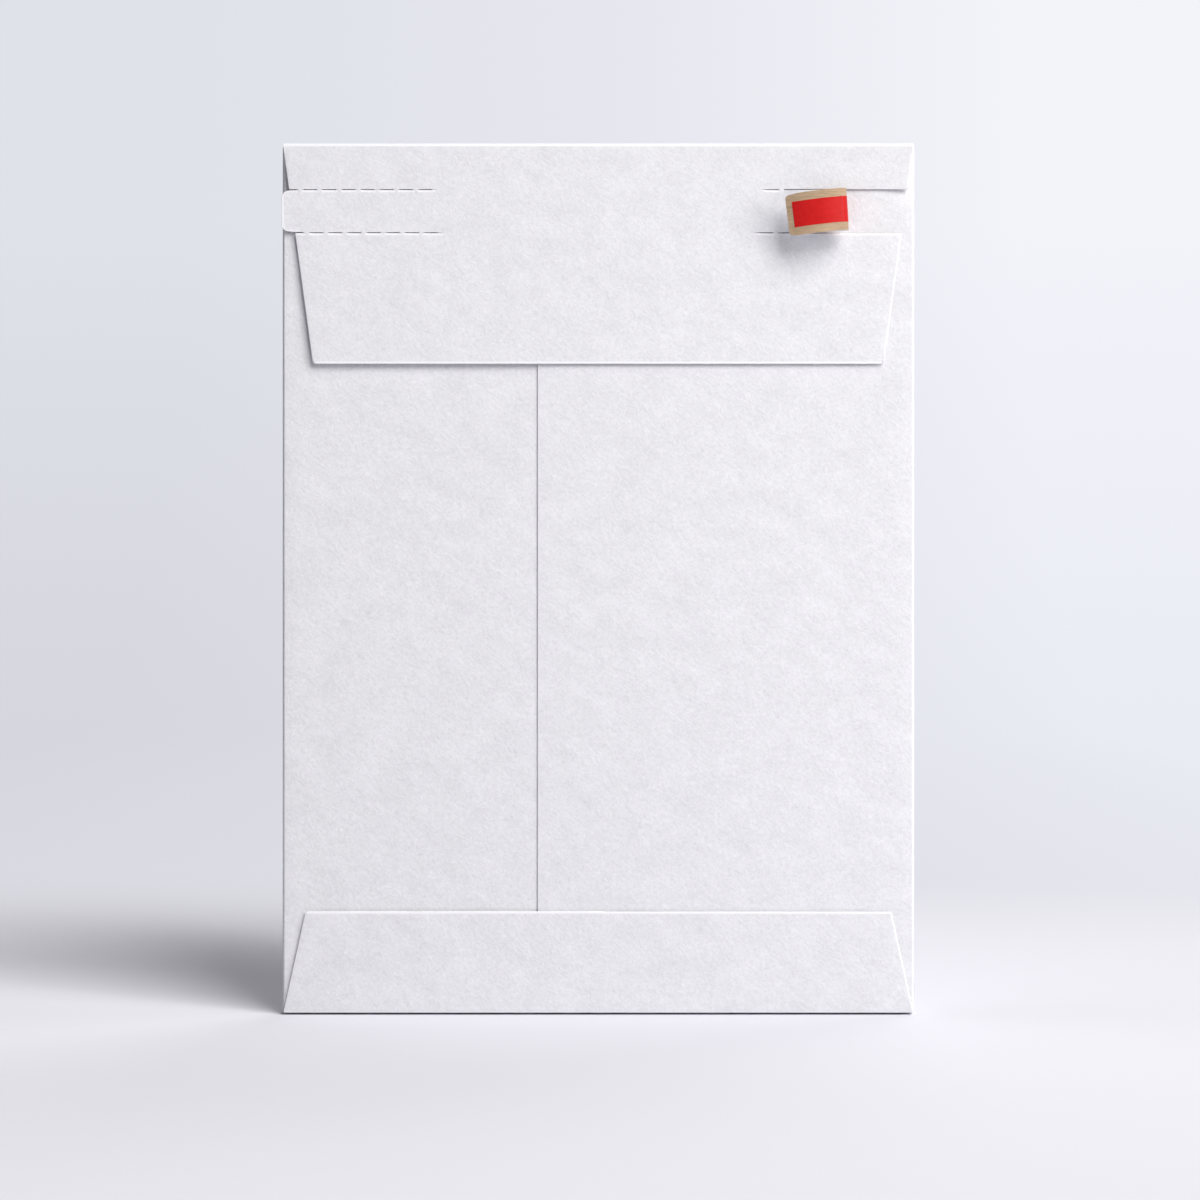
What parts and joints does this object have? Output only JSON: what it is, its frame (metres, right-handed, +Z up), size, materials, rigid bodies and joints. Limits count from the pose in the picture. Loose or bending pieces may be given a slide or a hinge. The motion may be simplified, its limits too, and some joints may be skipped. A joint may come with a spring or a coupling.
{
  "type": "envelope",
  "caption": "Upright board envelope with a closing flap, a perforated tear strip whose torn end curls back, a centre seam and a glued bottom flap.",
  "frame": {"origin": "middle of the bottom wall, on the surface that the envelope stands on", "axes": "+Z up along the envelope, +Y out of the address side, -Y out of the flap side, X across the width"},
  "size_m": [0.24, 0.0206, 0.33],
  "materials": {
    "white_board": "matte white fibre board",
    "kraft_lining": "matte brown kraft paper",
    "red_tear_tape": "smooth red film",
    "dried_glue": "dried glue",
    "seal_adhesive": "tacky hot-melt adhesive"
  },
  "bodies": {
    "sleeve": {"front_panel": "white_board", "left_side_wall": "white_board", "right_side_wall": "white_board", "left_back_panel": "white_board", "right_back_panel": "white_board", "bottom_wall": "white_board", "bottom_flap": "white_board", "seam_glue": "dried_glue", "bottom_flap_glue": "dried_glue"},
    "top_wall": {"top_wall": "white_board"},
    "closing_flap": {"flap_upper_band": "white_board", "flap_lower_panel": "white_board", "seal_adhesive": "seal_adhesive", "tear_strip_held": "white_board", "kraft_lining_held": "kraft_lining", "tear_tape_held": "red_tear_tape"},
    "pull_tab": {"tear_strip_tab": "white_board", "kraft_lining_tab": "kraft_lining", "tear_tape_tab": "red_tear_tape"},
    "strip_link_1": {"tear_strip_link_1": "white_board", "kraft_lining_link_1": "kraft_lining", "tear_tape_link_1": "red_tear_tape"},
    "strip_link_2": {"tear_strip_link_2": "white_board", "kraft_lining_link_2": "kraft_lining", "tear_tape_link_2": "red_tear_tape"},
    "strip_link_3": {"tear_strip_link_3": "white_board", "kraft_lining_link_3": "kraft_lining", "tear_tape_link_3": "red_tear_tape"},
    "strip_link_4": {"tear_strip_link_4": "white_board", "kraft_lining_link_4": "kraft_lining", "tear_tape_link_4": "red_tear_tape"},
    "strip_link_5": {"tear_strip_link_5": "white_board", "kraft_lining_link_5": "kraft_lining", "tear_tape_link_5": "red_tear_tape"},
    "strip_link_6": {"tear_strip_link_6": "white_board", "kraft_lining_link_6": "kraft_lining", "tear_tape_link_6": "red_tear_tape"},
    "strip_link_7": {"tear_strip_link_7": "white_board", "kraft_lining_link_7": "kraft_lining", "tear_tape_link_7": "red_tear_tape"}
  },
  "joints": [
    {"name": "top_wall_fold", "type": "hinge", "parent": "sleeve", "child": "top_wall", "pos_m": [0, 0.0035, 0.33], "axis": [-1, 0, 0], "range_deg": [0, 90]},
    {"name": "flap_fold", "type": "hinge", "parent": "top_wall", "child": "closing_flap", "pos_m": [0, -0.0052, 0.33], "axis": [-1, 0, 0], "range_deg": [0, 90]},
    {"name": "pull_tab_lift", "type": "hinge", "parent": "closing_flap", "child": "pull_tab", "pos_m": [-0.11415, -0.0052, 0.3042], "axis": [0, 0, 1], "range_deg": [0, 90], "stiffness_Nm_per_rad": 0.0003},
    {"name": "curl_1", "type": "hinge", "parent": "closing_flap", "child": "strip_link_1", "pos_m": [0.0707, -0.0052, 0.3042], "axis": [-0.061, 0, 0.9981], "range_deg": [0, 7], "stiffness_Nm_per_rad": 0.0003},
    {"name": "curl_2", "type": "hinge", "parent": "strip_link_1", "child": "strip_link_2", "pos_m": [0.08142, -0.00651, 0.30419], "axis": [-0.061, 0, 0.9981], "range_deg": [0, 8], "stiffness_Nm_per_rad": 0.0003},
    {"name": "curl_3", "type": "hinge", "parent": "strip_link_2", "child": "strip_link_3", "pos_m": [0.09205, -0.00936, 0.30417], "axis": [-0.061, 0, 0.9981], "range_deg": [0, 49], "stiffness_Nm_per_rad": 0.0003},
    {"name": "curl_4", "type": "hinge", "parent": "strip_link_3", "child": "strip_link_4", "pos_m": [0.09324, -0.01178, 0.30408], "axis": [-0.061, 0, 0.9981], "range_deg": [0, 50], "stiffness_Nm_per_rad": 0.0003},
    {"name": "curl_5", "type": "hinge", "parent": "strip_link_4", "child": "strip_link_5", "pos_m": [0.09215, -0.01424, 0.30385], "axis": [-0.061, 0, 0.9981], "range_deg": [0, 49], "stiffness_Nm_per_rad": 0.0003},
    {"name": "curl_6", "type": "hinge", "parent": "strip_link_5", "child": "strip_link_6", "pos_m": [0.08522, -0.01637, 0.30298], "axis": [-0.061, 0, 0.9981], "range_deg": [0, 20], "stiffness_Nm_per_rad": 0.0003},
    {"name": "curl_7", "type": "hinge", "parent": "strip_link_6", "child": "strip_link_7", "pos_m": [0.07749, -0.01596, 0.30203], "axis": [-0.061, 0, 0.9981], "range_deg": [0, 14], "stiffness_Nm_per_rad": 0.0003}
  ],
  "couplings": [
    {"joint": "flap_fold", "follows": "top_wall_fold", "ratio": 1},
    {"joint": "curl_1", "follows": "curl_4", "ratio": 0.14},
    {"joint": "curl_2", "follows": "curl_4", "ratio": 0.16},
    {"joint": "curl_3", "follows": "curl_4", "ratio": 0.98},
    {"joint": "curl_5", "follows": "curl_4", "ratio": 0.98},
    {"joint": "curl_6", "follows": "curl_4", "ratio": 0.4},
    {"joint": "curl_7", "follows": "curl_4", "ratio": 0.28}
  ]
}
